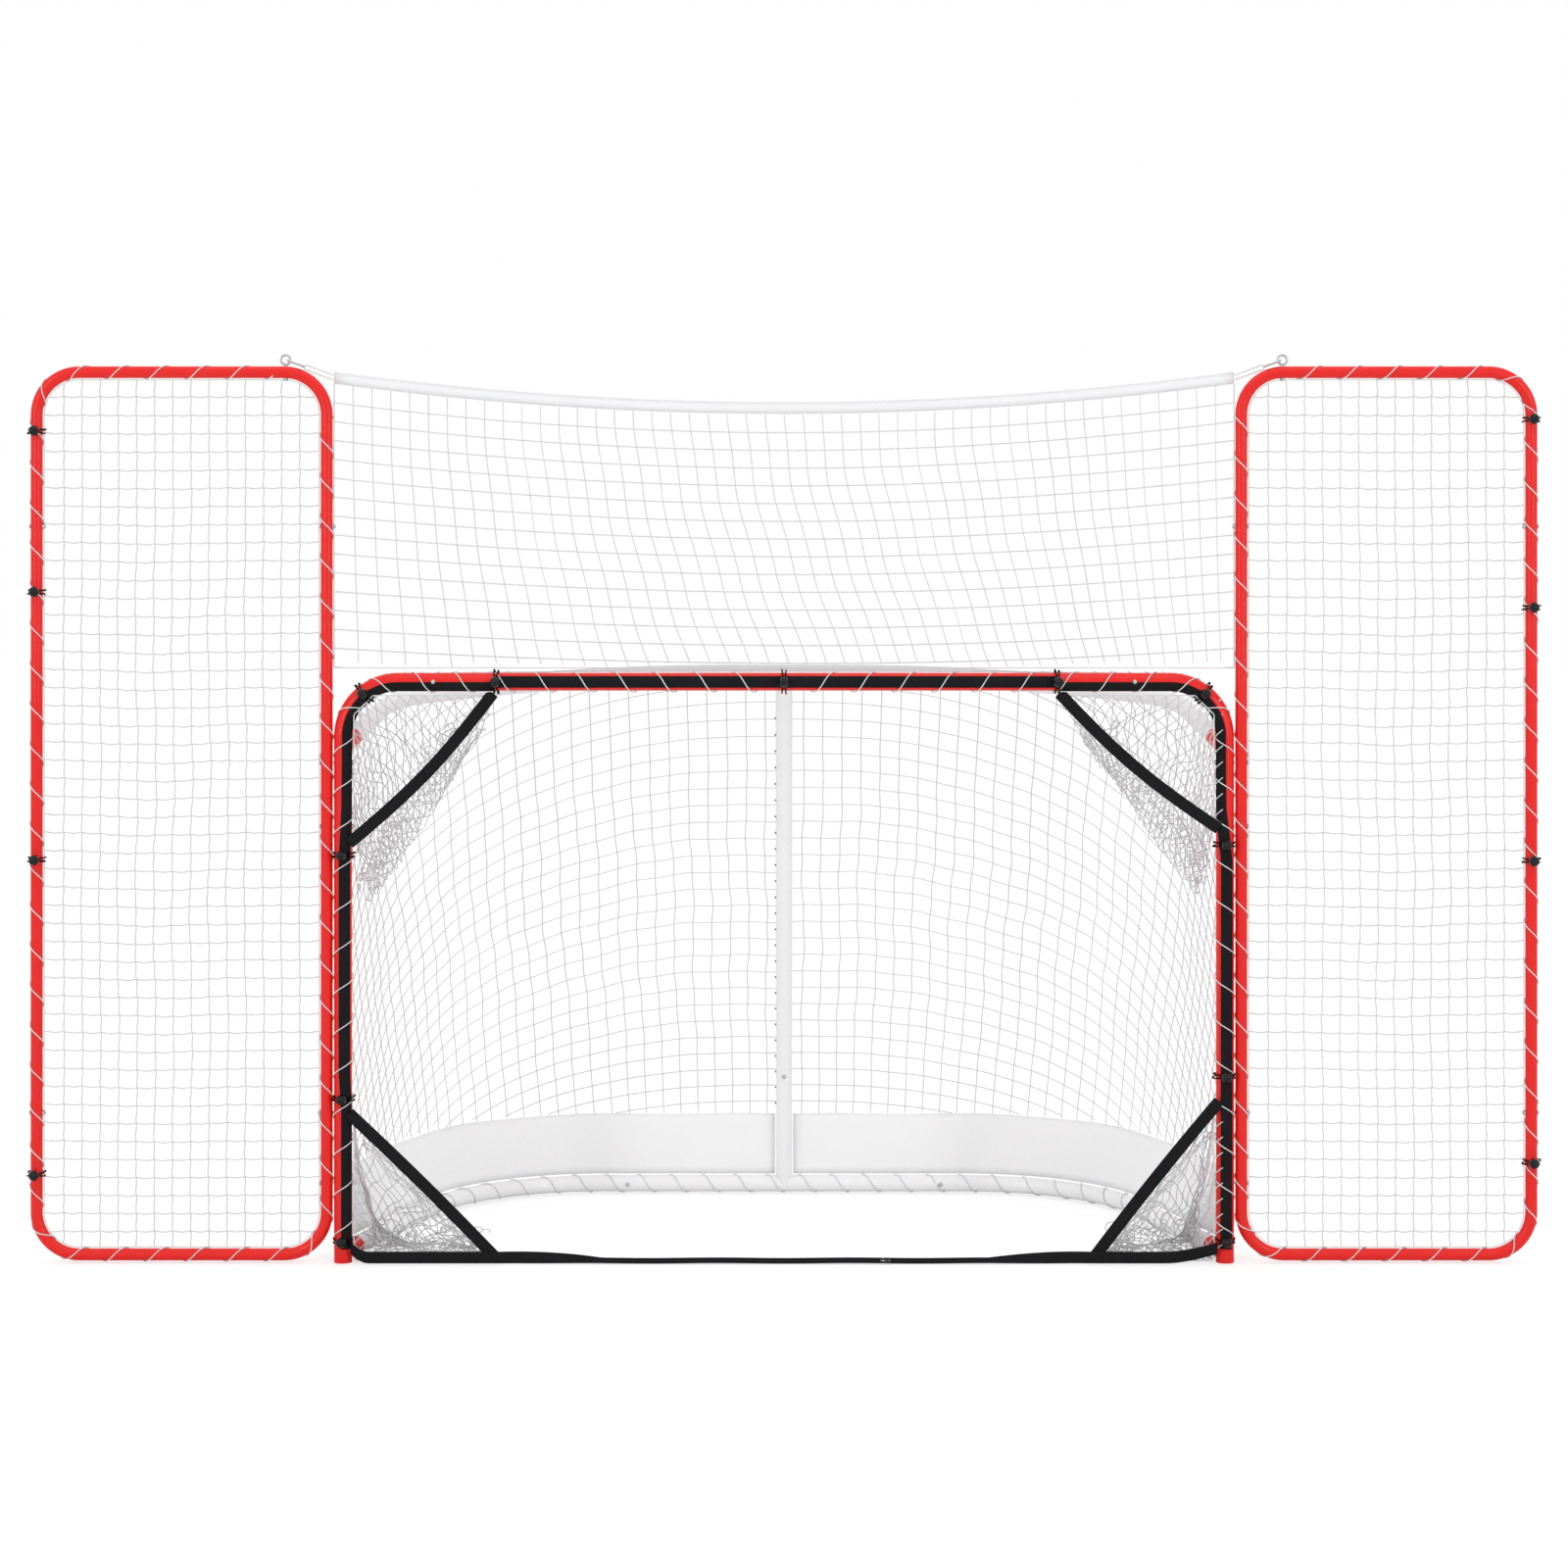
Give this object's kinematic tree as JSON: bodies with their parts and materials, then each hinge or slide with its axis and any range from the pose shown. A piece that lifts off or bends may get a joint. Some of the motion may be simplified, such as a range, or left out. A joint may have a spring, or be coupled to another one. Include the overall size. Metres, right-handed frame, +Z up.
{
  "type": "hockey goal net",
  "caption": "Hockey goal with red posts, white base and roof bows, laced nets, two side wings, a backstop net and corner shooting targets",
  "frame": {"origin": "on the floor, in the middle of the bounding box", "axes": "+X to the goal's right as seen from the front, +Y to the back, +Z up"},
  "size_m": [3.208, 0.8306, 1.9222],
  "materials": {
    "red_paint": "glossy red powder coat",
    "white_paint": "glossy white powder coat",
    "zinc_steel": "zinc plated",
    "red_plastic": "moulded red plug",
    "white_netting": "knotted white polyester mesh",
    "white_cord": "braided white cord",
    "white_skirt": "matt coated white fabric",
    "white_webbing": "woven white strap",
    "black_webbing": "ribbed black webbing",
    "black_plastic": "moulded black buckle",
    "black_balls": "smooth black balls",
    "black_elastic": "covered elastic cord"
  },
  "bodies": {
    "frame": {"left_post": "red_paint", "right_post": "red_paint", "left_corner_bend": "red_paint", "right_corner_bend": "red_paint", "crossbar": "red_paint", "post_end_plugs": "red_plastic", "base_center_tube": "white_paint", "base_tube_left": "white_paint", "base_tube_right": "white_paint", "center_post": "white_paint", "roof_tube_left": "white_paint", "roof_tube_right": "white_paint", "crossbar_bolts": "zinc_steel", "base_bolts": "zinc_steel", "roof_bolts": "zinc_steel", "wing_mount_bolts": "zinc_steel", "wing_top_bend_left": "red_paint", "wing_top_bend_right": "red_paint", "wing_inner_tube_left": "red_paint", "wing_inner_tube_right": "red_paint", "wing_outer_tube_left": "red_paint", "wing_outer_tube_right": "red_paint", "wing_bottom_bend_left": "red_paint", "wing_bottom_bend_right": "red_paint", "wing_joint_bolts": "zinc_steel", "wing_net_left": "white_netting", "wing_net_right": "white_netting", "wing_lacing_left": "white_cord", "wing_lacing_right": "white_cord", "backstop_net": "white_netting", "backstop_strap": "white_webbing", "eye_bolts": "zinc_steel", "eye_bolt_nuts": "zinc_steel", "snap_hook_left": "zinc_steel", "snap_hook_right": "zinc_steel", "snap_hook_pins": "zinc_steel", "goal_net": "white_netting", "goal_lacing_left": "white_cord", "goal_lacing_right": "white_cord", "skirt_left": "white_skirt", "skirt_right": "white_skirt", "skirt_lacing": "white_cord", "target_top_strap": "black_webbing", "target_side_strap_left": "black_webbing", "target_side_strap_right": "black_webbing", "target_bottom_strap_left": "black_webbing", "target_bottom_strap_right": "black_webbing", "strap_buckle": "black_plastic", "target_diagonals": "black_webbing", "pocket_top_left": "white_netting", "pocket_top_right": "white_netting", "pocket_bottom_left": "white_netting", "pocket_bottom_right": "white_netting", "target_tie_balls": "black_balls", "target_tie_loops": "black_elastic", "wing_tie_balls": "black_balls", "wing_tie_loops": "black_elastic"},
    "gate_left": {"snap_gate_left": "zinc_steel"},
    "gate_right": {"snap_gate_right": "zinc_steel"}
  },
  "joints": [
    {"name": "snap_gate_left_hinge", "type": "hinge", "parent": "frame", "child": "gate_left", "pos_m": [-1.02524, -0.3792, 1.89852], "axis": [-0.3478, 0, -0.9376], "range_deg": [0, 20], "stiffness_Nm_per_rad": 0.002},
    {"name": "snap_gate_right_hinge", "type": "hinge", "parent": "frame", "child": "gate_right", "pos_m": [1.02524, -0.3792, 1.89852], "axis": [0.3478, 0, -0.9376], "range_deg": [-20, 0], "stiffness_Nm_per_rad": 0.002}
  ]
}
